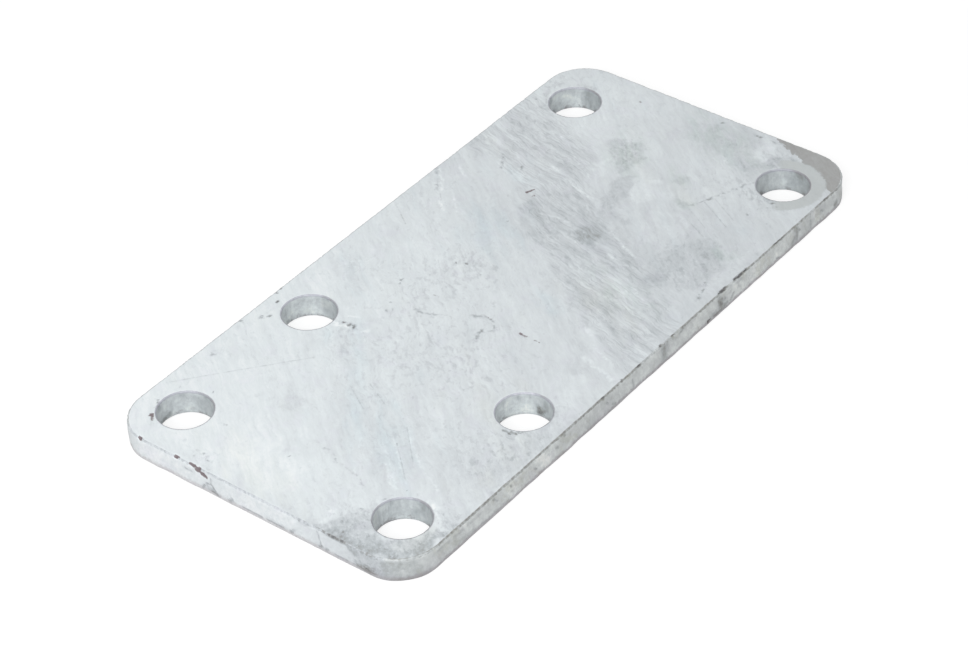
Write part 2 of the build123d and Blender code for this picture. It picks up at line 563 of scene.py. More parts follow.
# Marks on the front edge, as (x, height)
FRONT_TONES = (
    (6, 0.6, ((-60, 4, 0, 14, 6), (54, 4, 0, 12, 6), (74, 4, 0, 12, 6))),
    (6, 0.5, ((-88, 6.9, 0, 13, 0.8),)),
    (-9, 0.6, (
        (8, 5.5, 20, 4, 2.5), (-24, 4, 0, 7, 4), (81, 4, 0, 5, 4), (20, 7.5, 0, 4, 0.8), (93, 6, 0, 5, 2),
    )),
    (-16, 0.5, (
        (-86.5, 2.5, 170, 3, 0.8), (7.4, 7, 0, 2, 1.2), (11.8, 7.6, 60, 0.8, 0.6), (-78, 1.9, 0, 11, 0.4),
    )),
    (-14, 0.5, (
        (43, 3, 30, 0.9, 0.6), (45.4, 5, 60, 0.9, 0.5), (41.5, 5.4, 30, 0.8, 0.5), (74.8, 3, 40, 2, 0.8),
    )),
    (-22, 0.5, (
        (37, 3.4, 115, 2.6, 1.6), (7.2, 4, 100, 3, 1.4), (46, 6.8, 0, 2, 0.8), (34, 2.4, 0, 3, 0.9),
        (76, 3, 60, 2.4, 1),
    )),
    (-22, 0.5, (
        (36.4, 4.2, 115, 3.2, 1.5), (76.5, 6.8, 130, 2, 1.1), (30.2, 1.9, 150, 1.0, 0.5),
        (38.5, 2.4, 20, 1.4, 1),
    )),
    (-40, 0.5, ((99, 3, 70, 1.3, 0.9), (34.5, 1.6, 0, 2, 0.6))),
    (10, 0.6, (
        (-66, 4.5, 120, 4, 2), (-50, 4, 120, 4, 2), (24, 4, 110, 3, 2), (55, 4.4, 110, 4, 2.4),
        (88, 5, 110, 3, 1.4),
    )),
)
# Dark lines on the front edge: the long lines at height 8.1 along the top are a painted shade line on the
# arris, broken at the chips; the others are cracks
FRONT_CRACKS_AND_ARRIS_SHADE = (
    (0.46, 0.4, (
        ((-98, 8.15), (-80, 8.1), (-60, 8.15), (-30, 8.1), (-4, 8.1)), ((16, 8.1), (34, 8.15)),
        ((50, 8.1), (60, 8.1)),
    )),
    (0.25, 0.4, (
        ((-74.4, 7), (-72.4, 5)), ((-8.6, 5), (-8, 2)), ((-18.4, 3), (-17, 2)), ((77, 7.4), (77.4, 2)),
    )),
    (0.2, 0.35, (
        ((-99, 6.1), (-94, 6)), ((-92, 6), (-88, 5.9)), ((-86, 6), (-80, 5.9)), ((84.4, 7.4), (85, 2.4)),
    )),
    (0.35, 0.4, (
        ((-55.3, 4.7), (-54.5, 3.9)), ((-66.4, 6.2), (-66, 5.8)), ((-45.2, 5.4), (-44.6, 4.8)),
        ((-23.4, 8), (-22.6, 7.4)), ((-41.8, 7.6), (-41, 7)), ((-21.4, 5.2), (-20.6, 4.4)),
        ((15, 6.6), (17, 7.4)), ((78.3, 5.8), (79, 5)), ((90.6, 5.4), (91.6, 4.4)), ((35, 5.6), (37, 3.4)),
        ((41.4, 2.4), (43, 4)), ((66, 2.2), (67.6, 1.6)),
    )),
    (0.5, 0.3, (
        ((60, 8.1), (69, 8.15), (78, 8.1)), ((79, 8.1), (83, 8.15)), ((88, 8.1), (100, 8.1)),
        ((-30, 8.15), (-20, 8.1)),
    )),
)
FRONT_CHIPS = (
    (38.2, 8.2, 2.1, 0.55, 0.5), (47.4, 8.25, 3.2, 0.6, 0.5), (-22.2, 8.2, 1.0, 0.3, 0.2),
    (-13.2, 8.2, 0.6, 0.35, 0.2), (-5.4, 8.2, 0.8, 0.3, 0.2), (6.0, 8.2, 0.6, 0.4, 0.25),
    (12.0, 8.2, 0.7, 0.35, 0.25), (67.0, 8.2, 2.6, 0.25, 0.2), (93.0, 8.2, 2.0, 0.25, 0.2),
    (30.2, 1.4, 0.8, 0.5, 0.2),
)

# Change of grey round a hole's wall by bearing in degrees, which is painted light and shade, and of each
# whole wall in the order of HOLES
BORE_LIGHT_AND_SHADE = (
    (-40, -26), (-10, -20), (8, -14), (22, 1), (34, 3), (50, 0), (75, 0), (100, 4), (130, -2), (160, -14),
)
BORE_LEVELS = (-3, 0, 7, 3, -8, 1)

# Marks in each bore, of which the bright, upright ones near bearing 30 are painted highlights: bearing,
# height, half width in degrees, half height, change of grey
BORE_MARKS_AND_HIGHLIGHTS = {
    1: ((100, 5.0, 12, 3.0, -10), (38, 4.6, 5, 3.0, 10), (62, 6.4, 4, 1.6, -20), (12, 4.0, 8, 1.4, -14)),
    2: (
        (108, 6.6, 12, 1.4, -30), (82, 1.4, 10, 0.9, -45), (100, 1.0, 14, 0.8, -50), (6, 6.2, 6, 1.2, 16),
        (30, 1.6, 8, 0.7, -24),
    ),
    3: ((4, 2.6, 9, 1.5, -75), (-10, 4.6, 14, 2.4, -26), (60, 6.6, 30, 0.8, -10)),
    4: ((4, 5.0, 14, 3.0, -10), (28, 4.6, 4, 3.0, 18), (46, 1.6, 10, 0.8, -12), (96, 1.2, 10, 0.8, -30)),
    5: ((96, 1.2, 12, 1.2, -44), (30, 3.2, 9, 2.0, 16), (0, 6.6, 14, 1.2, -16)),
    6: ((110, 6.4, 12, 1.4, -24), (2, 4.6, 11, 2.4, -18), (30, 3.0, 9, 2.2, 16), (96, 1.4, 12, 0.9, -36)),
}


# ---------------------------------------------------------------- painting the marks on the skin


def soft_step(value, start, end):
    """0 up to start, 1 from end, smooth between; start may be above end."""
    share = np.clip((value - start) / (end - start), 0, 1)
    return share * share * (3 - 2 * share)


def wander(points, size, seed):
    """Smooth noise at each place, in a plane or in space, with a spread of 1."""
    falloff, scale_ratio, octaves, apart = 1.0, 2.0, 2, 40
    flat = len(points[0]) == 2
    shift = Vector((0, 0, seed * apart))
    values = []
    for point in points:
        at = Vector((*point, 0) if flat else point) + shift
        values.append(noise.fractal(at / size, falloff, scale_ratio, octaves))
    values = np.array(values)
    return values / values.std()


def away_from_line(x, y, line):
    """Distance of each place from a line through points."""
    least = np.full(x.shape, np.inf)
    for (start_x, start_y), (end_x, end_y) in zip(line, line[1:]):
        run_x, run_y = end_x - start_x, end_y - start_y
        along = ((x - start_x) * run_x + (y - start_y) * run_y) / (run_x**2 + run_y**2)
        along = np.clip(along, 0, 1)
        least = np.minimum(least, np.hypot(x - start_x - along * run_x, y - start_y - along * run_y))
    return least


def past_rim(x, y, outline):
    """Distance of each place from a closed outline, below 0 inside it."""
    inside = np.zeros(x.shape, bool)
    closed = (*outline, outline[0])
    for (start_x, start_y), (end_x, end_y) in zip(closed, closed[1:]):
        if start_y != end_y:
            crossing = start_x + (y - start_y) * (end_x - start_x) / (end_y - start_y)
            inside ^= ((start_y > y) != (end_y > y)) & (x < crossing)
    away = away_from_line(x, y, closed)
    return np.where(inside, -away, away)


def oval_reach(x, y, oval):
    """Distance from an oval's centre, where its rim is 1."""
    centre_x, centre_y, turn, half_length, half_width = oval
    across, up = math.cos(math.radians(turn)), math.sin(math.radians(turn))
    along = (x - centre_x) * across + (y - centre_y) * up
    aside = (y - centre_y) * across - (x - centre_x) * up
    return np.hypot(along / half_length, aside / half_width)


def soft_ovals(x, y, groups, ragged=0.0):
    """Sum of the groups' changes: each is (change, softness, ovals)."""
    total = np.zeros(x.shape)
    for change, soft, ovals in groups:
        reach = np.minimum.reduce([oval_reach(x, y, oval) for oval in ovals]) + ragged
        total += change * soft_step(reach, 1 + soft, 1 - soft)
    return total


def sharp_patches(x, y, groups):
    """Sum of the groups' changes: each is (change, softness in mm, outlines)."""
    total = np.zeros(x.shape)
    for change, soft, outlines in groups:
        past = np.minimum.reduce([past_rim(x, y, outline) for outline in outlines])
        total += change * soft_step(past, soft / 2, -soft / 2)
    return total


def drawn_lines(x, y, groups):
    """Strongest of the groups' lines: each is (strength, half width, lines)."""
    strongest = np.zeros(x.shape)
    for strength, half_width, lines in groups:
        away = np.minimum.reduce([away_from_line(x, y, line) for line in lines])
        strongest = np.maximum(strongest, strength * soft_step(away, half_width * 1.5, half_width * 0.3))
    return strongest


def drawn_pits(x, y, groups):
    """Strongest of the groups' pits: each is (strength, radius, centres)."""
    strongest = np.zeros(x.shape)
    for strength, radius, centres in groups:
        away = np.minimum.reduce([np.hypot(x - pit_x, y - pit_y) for pit_x, pit_y in centres])
        strongest = np.maximum(strongest, strength * soft_step(away, radius * 1.3, radius * 0.5))
    return strongest


def drawn_chips(along, climb, ragged, chips):
    """How far chipped each place is, from 0 to 1, and the chips' depth there."""
    share, depth = np.zeros(along.shape), np.zeros(along.shape)
    for centre, height, half_length, half_height, sunk in chips:
        reach = np.hypot((along - centre) / half_length, (climb - height) / half_height)
        here = soft_step(reach + ragged * 0.16, 1.25, 0.8)
        share = np.maximum(share, here)
        depth = np.maximum(depth, here * sunk)
    return share, depth


def paint_top(x, y):
    """Marks of the top face at each place."""
    places = np.stack([x, y], 1)
    fine = wander(places, 1.3, 1.0)
    coarse = wander(places, 4.0, 2.0)
    drift_x = x + wander(places, 7.0, 3.0) * 0.9 + fine * 0.35
    drift_y = y + wander(places, 7.0, 4.0) * 0.9 + coarse * 0.3
    close_x = x + fine * 0.16 + coarse * 0.15
    close_y = y + wander(places, 1.6, 8.0) * 0.2
    broken = np.clip(0.8 + 0.5 * fine + 0.2 * coarse, 0.1, 1.4)
    tone = soft_ovals(drift_x, drift_y, TOP_TONES, fine * 0.08)
    tone += sharp_patches(drift_x, drift_y, TOP_PATCHES)
    tone += drawn_lines(close_x, close_y, TOP_STREAKS) * broken
    rust = drawn_lines(close_x, close_y, TOP_RUST) * broken
    dark = np.maximum(drawn_lines(close_x, close_y, TOP_CRACKS), drawn_pits(close_x, close_y, TOP_PITS))
    dark = np.maximum(dark * broken, drawn_lines(x, y, TOP_SCRATCHES) * (0.5 + 0.5 * broken))
    bare_begins = np.interp(y, *zip(*BARE_EDGE))
    return {
        "tone": tone,
        "mottle": 0.6 + soft_ovals(drift_x, drift_y, TOP_MOTTLES),
        "hue": soft_ovals(drift_x, drift_y, TOP_HUES),
        "dark": dark,
        "rust": rust,
        "green": soft_ovals(drift_x, drift_y, GREEN_PATCHES, fine * 0.1),
        "bare": x - bare_begins + fine * 0.3,
        "sunk": np.maximum(dark, rust),
    }


def paint_edge(along, climb, tones, cracks, chips):
    """Marks of one side of the cut edge, at places along it and up it."""
    places = np.stack([along, climb], 1)
    fine = wander(places, 1.0, 5.0)
    tone = soft_ovals(along + fine * 0.2, climb + fine * 0.1, tones, fine * 0.12)
    share, depth = drawn_chips(along, climb, fine, chips)
    # Dark lines: cracks, and the painted shade line along the arris
    dark = drawn_lines(along + fine * 0.08, climb + fine * 0.06, cracks)
    return {"tone": tone, "dark": dark, "chip": share, "sunk": depth}


# ---------------------------------------------------------------- the plate's mesh

TOP, UNDER, EDGE, BORE = range(4)
OUTLINE, LOOSE = 0, -1
FAR_IN = 100.0
GRID_SEED = 3
# How far the walls' marks run on over the arris, and how far the grooves lean for each mm up
WRAP = 1.2
GROOVE_LEAN = 0.45
FIELDS = ("tone", "mottle", "hue", "dark", "rust", "green", "bare", "sunk")


class Column:
    """One upright line of the mesh round an edge: its foot in plan and the way out of the metal."""

    def __init__(self, x, y, out_x, out_y):
        self.x, self.y, self.out_x, self.out_y = x, y, out_x, out_y

    def at(self, inset, z):
        """The point so far into the metal from the wall, at height z."""
        return (self.x - self.out_x * inset, self.y - self.out_y * inset, z)


def outline_columns(radius, step):
    """Columns round the outline, anticlockwise from the start of the +X, +Y corner."""
    columns = []
    plate_length, plate_width = HIGH_X - LOW_X, HIGH_Y - LOW_Y
    for quarter, (side_x, side_y) in enumerate(((1, 1), (-1, 1), (-1, -1), (1, -1))):
        middle_x, middle_y = side_x * (HIGH_X - radius), side_y * (HIGH_Y - radius)
        start = math.radians(90 * quarter)
        count = round(radius * math.pi / 2 / step)
        for k in range(count):
            angle = start + math.pi / 2 * k / count
            out_x, out_y = math.cos(angle), math.sin(angle)
            columns.append(Column(middle_x + radius * out_x, middle_y + radius * out_y, out_x, out_y))
        out_x, out_y = round(math.cos(start + math.pi / 2)), round(math.sin(start + math.pi / 2))
        straight = (plate_width if quarter % 2 else plate_length) - 2 * radius
        count = round(straight / step)
        for k in range(count):
            along = straight * k / count
            x = middle_x + radius * out_x - out_y * along
            y = middle_y + radius * out_y + out_x * along
            columns.append(Column(x, y, out_x, out_y))
    return columns


def hole_columns(centre, radius, step):
    """Columns round a hole, clockwise, which keeps the metal on the same hand as round the outline."""
    count = round(2 * math.pi * radius / step)
    columns = []
    for k in range(count):
        angle = -2 * math.pi * k / count
        out_x, out_y = -math.cos(angle), -math.sin(angle)
        columns.append(Column(centre[0] - radius * out_x, centre[1] - radius * out_y, out_x, out_y))
    return columns


def wall_profile(top_round, under_round, skirts, turns, rows):
    """(inset, height) pairs from the top face over its softened edge, down the wall and on below."""
    profile = [(inset, THICKNESS) for inset in skirts]
    for k in range(turns + 1):
        angle = math.pi / 2 * k / turns
        profile.append((top_round * (1 - math.sin(angle)), THICKNESS - top_round * (1 - math.cos(angle))))
    wall_height = THICKNESS - top_round - under_round
    profile += [(0.0, THICKNESS - top_round - wall_height * k / rows) for k in range(1, rows)]
    for k in range(turns, -1, -1):
        angle = math.pi / 2 * k / turns
        profile.append((under_round * (1 - math.sin(angle)), under_round * (1 - math.cos(angle))))
    return profile + [(inset, 0.0) for inset in reversed(skirts)]


class PlateMesh:
    """Points in mm, with the way out of the metal, inset and owner of each, and faces with their finish.

    The owner is OUTLINE for points round the plate, 1 or more for a hole's, and LOOSE for those within
    a flat face, which lie FAR_IN from any wall.
    """

    def __init__(self):
        self.points, self.outward, self.insets, self.owners = [], [], [], []
        self.faces, self.kinds = [], []

    def add_points(self, points, outward, inset, owner):
        """Adds points of one inset and owner. Gives their indices."""
        first = len(self.points)
        self.points += points
        self.outward += outward
        self.insets += [inset] * len(points)
        self.owners += [owner] * len(points)
        return list(range(first, len(self.points)))

    def wall(self, columns, profile, kind, skirt_count, owner):
        """Rings down a profile. Gives the first ring and the last, where the flat faces join on."""
        outward = [(column.out_x, column.out_y) for column in columns]
        rings = []
        for inset, z in profile:
            ring = [column.at(inset, z) for column in columns]
            rings.append(self.add_points(ring, outward, inset, owner))
        for k, (upper, lower) in enumerate(zip(rings, rings[1:])):
            finish = TOP if k < skirt_count else UNDER if k >= len(rings) - 1 - skirt_count else kind
            for first, second in zip(range(len(upper)), (*range(1, len(upper)), 0)):
                self.faces.append((upper[first], lower[first], lower[second], upper[second]))
                self.kinds.append(finish)
        return rings[0], rings[-1]

    def cap(self, loops, inner, z, finish):
        """Fills a flat face between closed loops of existing points, through loose inner points."""
        known = [index for loop in loops for index in loop]
        loop_of = [number for number, loop in enumerate(loops) for index in loop]
        plan = [Vector(self.points[index][:2]) for index in known] + [Vector(point) for point in inner]
        rims = []
        start = 0
        for loop in loops:
            rims += [(start + k, start + (k + 1) % len(loop)) for k in range(len(loop))]
            start += len(loop)
        inside_only, tolerance = 1, 1e-7
        made, _, triangles, origins, _, _ = delaunay_2d_cdt(plan, rims, [], inside_only, tolerance, True)
        indices = []
        held_by = []
        for point, origin in zip(made, origins):
            on_rim = bool(origin) and origin[0] < len(known)
            held_by.append(loop_of[origin[0]] if on_rim else None)
            if on_rim:
                indices.append(known[origin[0]])
            else:
                indices += self.add_points([(point.x, point.y, z)], [(0.0, 0.0)], FAR_IN, LOOSE)
        for triangle in triangles:
            loops_met = {held_by[k] for k in triangle}
            inside_hole = len(loops_met) == 1 and loops_met.pop()
            if not inside_hole:
                face = tuple(indices[k] for k in triangle)
                self.faces.append(face if finish == TOP else face[::-1])
                self.kinds.append(finish)


def clear_of_edges(x, y, radius, margin, hole_gap):
    """Whether a place on a flat face keeps clear of the outline and the holes."""
    beyond_x = max(abs(x) - (HIGH_X - radius), 0)
    beyond_y = max(abs(y) - (HIGH_Y - radius), 0)
    if math.hypot(beyond_x, beyond_y) > radius - margin:
        return False
    return all(math.hypot(x - hole_x, y - hole_y) > hole_gap for hole_x, hole_y in HOLES)


def loose_points(step, seed):
    """A slightly uneven triangular grid over the plate."""
    chance = np.random.default_rng(seed)
    uneven = 0.12
    row_step = step * math.sqrt(0.75)
    for row in range(int((HIGH_Y - LOW_Y) / row_step) + 1):
        for column in range(int((HIGH_X - LOW_X) / step) + 1):
            shift_x, shift_y = chance.uniform(-uneven, uneven, 2) * step
            yield LOW_X + (column + 0.5 * (row % 2)) * step + shift_x, LOW_Y + row * row_step + shift_y


def points_on_marks(step):
    """Closer points along the top face's lines and round its pits."""
    beside, halfway, round_pit = 1.2, 0.55, 8
    for _, half_width, lines in (*TOP_CRACKS, *TOP_SCRATCHES, *TOP_STREAKS, *TOP_RUST):
        for (start_x, start_y), (end_x, end_y) in (pair for line in lines for pair in zip(line, line[1:])):
            run = math.hypot(end_x - start_x, end_y - start_y)
            along_x, along_y = (end_x - start_x) / run, (end_y - start_y) / run
            for k in range(int(run / step)):
                for side in (-1, 0, 1):
                    shift = side * half_width * beside
                    x = start_x + along_x * step * k - along_y * shift
                    yield x, start_y + along_y * step * k + along_x * shift
    for _, radius, centres in TOP_PITS:
        for x, y in centres:
            yield x, y
            for k in range(round_pit):
                angle = 2 * math.pi / round_pit * k
                for reach in (halfway, beside):
                    yield x + radius * reach * math.cos(angle), y + radius * reach * math.sin(angle)


def plate_mesh(sizes):
    """The plain skin of the plate."""
    radius = sizes.corner_radius / MM
    step = sizes.column_step / MM
    rim = sizes.rim_break / MM
    mesh = PlateMesh()
    # Rings on the flat faces beside a wall, which lead from its close columns to the open spacing
    skirts, hole_skirts = (2.4, 1.7, 1.15), (1.7, 1.15, 0.75)
    profile = wall_profile(sizes.top_round / MM, sizes.under_round / MM, skirts, turns=3, rows=12)
    rings = [mesh.wall(outline_columns(radius, step), profile, EDGE, len(skirts), OUTLINE)]
    profile = wall_profile(rim, rim, hole_skirts, turns=2, rows=13)
    for number, centre in enumerate(HOLES, 1):
        columns = hole_columns(centre, HOLE_RADIUS, step)
        rings.append(mesh.wall(columns, profile, BORE, len(hole_skirts), number))
    tops, unders = zip(*rings)

    def fill(loops, places, gap, z, finish):
        """Closes a flat face between the walls' end rings, with places that keep a gap from them."""
        margin, hole_gap = skirts[0] + gap, HOLE_RADIUS + hole_skirts[0] + gap
        clear = [place for place in places if clear_of_edges(*place, radius, margin, hole_gap)]
        mesh.cap(loops, clear, z, finish)

    spacing = sizes.top_step / MM
    places = [*loose_points(spacing, GRID_SEED), *points_on_marks(sizes.mark_step / MM)]
    fill(tops, places, spacing * 0.5, THICKNESS, TOP)
    spacing = sizes.under_step / MM
    fill(unders, loose_points(spacing, GRID_SEED), spacing * 0.7, 0.0, UNDER)
    return mesh


# ---------------------------------------------------------------- wear sunk into the skin


class Skin:
    """The mesh's points as arrays, with the fields of marks that the materials read."""

    def __init__(self, mesh):
        self.points = np.array(mesh.points)
        self.outward = np.array(mesh.outward)
        self.insets = np.array(mesh.insets)
        self.owners = np.array(mesh.owners)
        self.x, self.y, self.z = self.points.T
        self.fields = {name: np.zeros(len(self.points)) for name in FIELDS}
        # 1 on a wall, down to 0 where it has run out over the arris on to a flat face
        self.on_wall = np.where(self.owners >= OUTLINE, np.clip(1 - self.insets / WRAP, 0, 1), 0)


def mark_top(skin, crack_depth):
    """Marks of the top face, out to the upper part of its rounded rim."""
    rim_drop, rim_inset = 0.15, 0.05
    top = (skin.z > THICKNESS - rim_drop) & (skin.insets > rim_inset)
    for name, values in paint_top(skin.x[top], skin.y[top]).items():
        skin.fields[name][top] = values
    skin.fields["sunk"][top] *= crack_depth


def mark_sides(skin):
    """Marks and chips of the near end and the front; chips run on over the arris."""
    faces_it, arris_drop = -0.7, 0.05
    climb = np.where(skin.z > THICKNESS / 2, skin.z + skin.insets, skin.z - skin.insets)
    near = (0, skin.y, NEAR_TONES, NEAR_CRACKS_AND_ARRIS_SHADE, NEAR_CHIPS, "rust")
    front = (1, skin.x, FRONT_TONES, FRONT_CRACKS_AND_ARRIS_SHADE, FRONT_CHIPS, "dark")
    for axis, along, tones, cracks, chips, chip_field in (near, front):
        here = (skin.owners == OUTLINE) & (skin.insets < WRAP) & (skin.outward[:, axis] < faces_it)
        marks = paint_edge(along[here], climb[here], tones, cracks, chips)
        below_arris = here & (skin.z < THICKNESS - arris_drop)
        for name in ("tone", "dark"):
            skin.fields[name][below_arris] = marks[name][below_arris[here]]
        for name, mark in ((chip_field, "chip"), ("sunk", "sunk")):
            skin.fields[name][here] = np.maximum(skin.fields[name][here], marks[mark])


def shade_corner(skin):
    """Darkens the edge round the near, front corner, below its worn arris."""
    darker, lighter_arris = 24, 26
    none_from, all_within, centre_in = 17, 4, 6
    arris = soft_step(skin.z, THICKNESS - 0.8, THICKNESS - 0.3)
    from_corner = np.hypot(skin.x - LOW_X, skin.y - LOW_Y - centre_in)
    shade = (darker - lighter_arris * arris) * soft_step(from_corner, none_from, all_within)
    outline = skin.owners == OUTLINE
    skin.fields["tone"][outline] -= (shade * skin.on_wall)[outline]


def wall_noise(skin):
    """Upright grooves and broad waves round the walls, each with a spread of 1."""
    walls = skin.owners >= OUTLINE
    grooves, waves = np.zeros(len(skin.points)), np.zeros(len(skin.points))
    leaning = skin.points[walls] + np.array([GROOVE_LEAN, GROOVE_LEAN, 0]) * skin.z[walls, None]
    grooves[walls] = wander(leaning * (1, 1, 0.12), 0.9, 0.0)
    waves[walls] = wander(leaning * (1, 1, 0.3), 7.0, 0.0)
    return grooves, waves


def worn_depth(skin, grooves, waves, sizes):
    """How far each point of a wall lies in: grooves, waves, a rolled foot, nicks in the arris, chips."""
    wave_depth, nick_depth, bore_grooves = 0.1, 0.07, 0.08
    z = skin.z
    calm = 1 - 0.8 * soft_step(z, 1.6, 0.8)
    cut = np.clip(0.5 + grooves * 0.4, 0, 1)
    outer = cut * sizes.groove_depth / MM * calm + np.clip(0.5 + waves * 0.3, 0, 1) * wave_depth
    straight = np.clip(1.6 - np.abs(skin.outward).min(1) * 4, 0, 1)
    foot = soft_step(z, 2.2, 0.3) * np.clip(0.9 + waves * 0.12, 0, 1.2) * (0.3 + 0.7 * straight)
    outer += foot * sizes.rolled_foot / MM
    outer += soft_step(z, THICKNESS - 1, THICKNESS - 0.4) * np.clip(grooves, 0, 2) * nick_depth
    depth = skin.on_wall * np.where(skin.owners == OUTLINE, outer, cut * bore_grooves * calm)
    beside_wall = np.where(skin.owners >= OUTLINE, soft_step(skin.insets, WRAP, 0.2), 0)
    return depth + skin.fields["sunk"] * beside_wall


def shade_and_mark_bores(skin, ragged, depth):
    """Greys of the holes' walls: painted light and shade by bearing, each wall's own change, and their
    marks, some of them painted highlights, of which the darkest stand proud.
    """
    proud, from_change = 0.3, -60
    bearing = np.degrees(np.arctan2(-skin.outward[:, 1], -skin.outward[:, 0]))
    in_hole = (skin.owners > OUTLINE) & (skin.insets < 0.5)
    # Painted light and shade by bearing, plus each wall's own change of grey
    levels = np.interp(bearing, *zip(*BORE_LIGHT_AND_SHADE)) + np.array((0, *BORE_LEVELS, 0))[skin.owners]
    skin.fields["tone"][in_hole] += levels[in_hole]
    # Dark marks, and bright upright painted highlights
    for hole, marks in BORE_MARKS_AND_HIGHLIGHTS.items():
        for middle, height, half_turn, half_height, change in marks:
            reach = np.hypot((bearing - middle) / half_turn, (skin.z - height) / half_height) + ragged
            share = np.where(in_hole & (skin.owners == hole), soft_step(reach, 1.3, 0.4), 0)
            skin.fields["tone"] += change * share
            depth -= share * proud * (change < from_change)


def weathered(mesh, sizes):
    """Sinks marks, grooves, chips and swells into the skin. Gives its points and its fields of marks."""
    skin = Skin(mesh)
    mark_top(skin, sizes.crack_depth / MM)
    mark_sides(skin)
    grooves, waves = wall_noise(skin)
    depth = worn_depth(skin, grooves, waves, sizes)
    shade_corner(skin)
    shade_and_mark_bores(skin, grooves * 0.15 + waves * 0.08, depth)
    skin.points[:, :2] -= skin.outward * depth[:, None]

    # The coat's swell, none halfway up the walls and all of it on the flat faces
    swells = wander(skin.points[:, :2], 11.0, 6.0) * 0.3 + wander(skin.points[:, :2], 3.0, 7.0) * 0.1
    near_face = np.abs(skin.z / THICKNESS - 0.5) * 2
    dip = np.clip(0.5 + swells, 0.1, 1) * sizes.coat_swell / MM * near_face
    drop = dip + skin.fields["sunk"] * (near_face > 0.9)
    skin.points[:, 2] += np.where(skin.z > THICKNESS / 2, -drop, dip)
    return skin.points, skin.fields


# ---------------------------------------------------------------- materials

# Grey of the top face along the plate, near end first: zinc tone plus painted light falling off away from
# the near end; and its change across
GREY_ALONG = (
    (-112.5, 222), (-96, 225), (-80, 222), (-60, 221), (-20, 219), (15, 217), (40, 210), (60, 213),
    (85, 215), (112.5, 213),
)
GREY_ACROSS = ((-55, -5), (-32, -4), (0, 0), (30, 5), (55, 6))


def zinc_top(colours):
    """Weathered top face: brushed film, feathered smears, mottled patches, bare corner, cracks and pits."""
    graph = Graph(bpy.data.materials.new("zinc_top"))
    place = graph.place()
    x, y, z = (graph.part(place, axis) for axis in range(3))
    swayed = graph.bend(place, 14, 2.4)
    kinked = graph.bend(swayed, 3, 0.8)
    patchy = graph.cloud(place, 16, 2)
    ragged = graph.cloud(place, 1.4, 4, 0.65)
    mottle = graph.field("mottle")
    tone = graph.field("tone")

    # Brushed film, leaning along the plate
    broad = graph.strands(swayed, 52, 22, 5.5, 3, 0.5)
    clumps = graph.strands(swayed, 50, 9, 3, 3)
    streaks = graph.strands(kinked, 53, 15, 1.6, 4, 0.6, (4, 1, 1))
    brushed = graph.strands(kinked, 54, 7, 0.8)
    grain = graph.strands(kinked, 50, 2.2, 1.0, 4, 0.66)
    # Painted light: the grey along the plate falls off away from the near end, on top of the zinc's own tone
    level = graph.curve(x, GREY_ALONG) + graph.curve(y, GREY_ACROSS)
    level = level + broad * 1.9 + clumps * 1.8 + streaks * 1.8 + brushed * 1.3
    level = level + grain * (0.9 + mottle)

    # Dark grains, thickest in patches, and pale flecks
    seeds = graph.strands(kinked, 48, 2.9, 1.7, shift=(7, 3, 1))
    grains = graph.step(seeds + patchy * 0.3 + mottle * 0.6, 0.8, 2.6)
    flecks = graph.step(ragged - patchy * 0.3, -1.1, -2.6)
    level = level - grains * (5.0 + mottle * 7.0) + flecks * 5.0 + 1.5

    # Feathered band of fibres across the middle
    centre = graph.curve(y, ((-56, 1), (-30, 20), (-10, 33), (10, 45), (35, 62), (56, 72)))
    band = graph.step(abs(x - centre + patchy * 3.0), 19, 11)
    fibres = graph.strands(kinked, 76, 8, 0.75)
    combed = graph.strands(swayed, 72, 16, 2.6, 3, 0.5)
    lines = (1.0 - abs(fibres) * 1.8).most(0.0)
    level = level + band * (fibres * 6.6 + combed * 5.2 + lines * 7.0 - 10.0)

    # Marks in the skin
    level = level + tone * (1.0 + ragged * 0.22) + tone.least(0.0) * grain * -0.16
    dark = (graph.field("dark") * (1.0 + ragged * 0.5)).least(0.9).most(0.0)
    level = graph.blend(level, 104.0, dark)

    # Washer ring and bare corner beyond the far, front hole
    from_hole = graph.vector("DISTANCE", place, (FAR_X, -ROW_Y, THICKNESS), output="Value")
    printed = graph.step(x * 0.55 - y + ragged * 0.5, 87, 90.5)
    ring = graph.step(from_hole + ragged * 0.25, 13.6, 12.6) * printed
    bare = graph.step(graph.field("bare") + ragged * 0.4 + seeds * 0.2, -0.2, 0.2)
    level = graph.blend(level, 164.0 + broad * 2.5 + ragged * 2.0 + brushed * 2.0, bare)
    level = graph.blend(level, 194.0 + grain * 1.6 + broad * 1.0, ring)
    # Painted shade: the top face darker over its rounded edge
    arris = graph.step(z, THICKNESS - 0.02, THICKNESS - 0.2)
    level = level - arris * 14.0

    base = graph.zinc_colour(level, colours)
    drift = graph.strands(swayed, 52, 18, 5, 3, 0.5)
    tinge = graph.cloud(swayed, 5, 3)
    lean = drift * 0.4 + graph.field("hue") * 1.1
    base = graph.cast(base, graph.step(lean, -0.1, -2.2) * 0.5, colours.cool)
    base = graph.cast(base, graph.step(lean, 0.1, 2.2) * 0.35, colours.warm)
    base = graph.cast(base, graph.step(tinge, 0.2, 2.0) * 0.2, colours.mauve)
    damp = graph.field("green") * graph.step(clumps, 1.2, -0.8) * 0.35 + 0.07
    base = graph.cast(base, damp, colours.green)
    base = graph.cast(base, (bare * 0.8 - bare * ring * 0.4).most(ring * 0.4), colours.warm)
    base = graph.cast(base, bare * (1.0 - ring) * 0.5, colours.mauve)
    base = graph.chipped(base, ragged, colours)
    height = (brushed + grain) * 0.05 - bare * 0.6
    roughness = 0.56 - bare * 0.16 - ring * 0.06
    return graph.finish(base, roughness, 0.05 + bare * 0.25, height, 0.02)


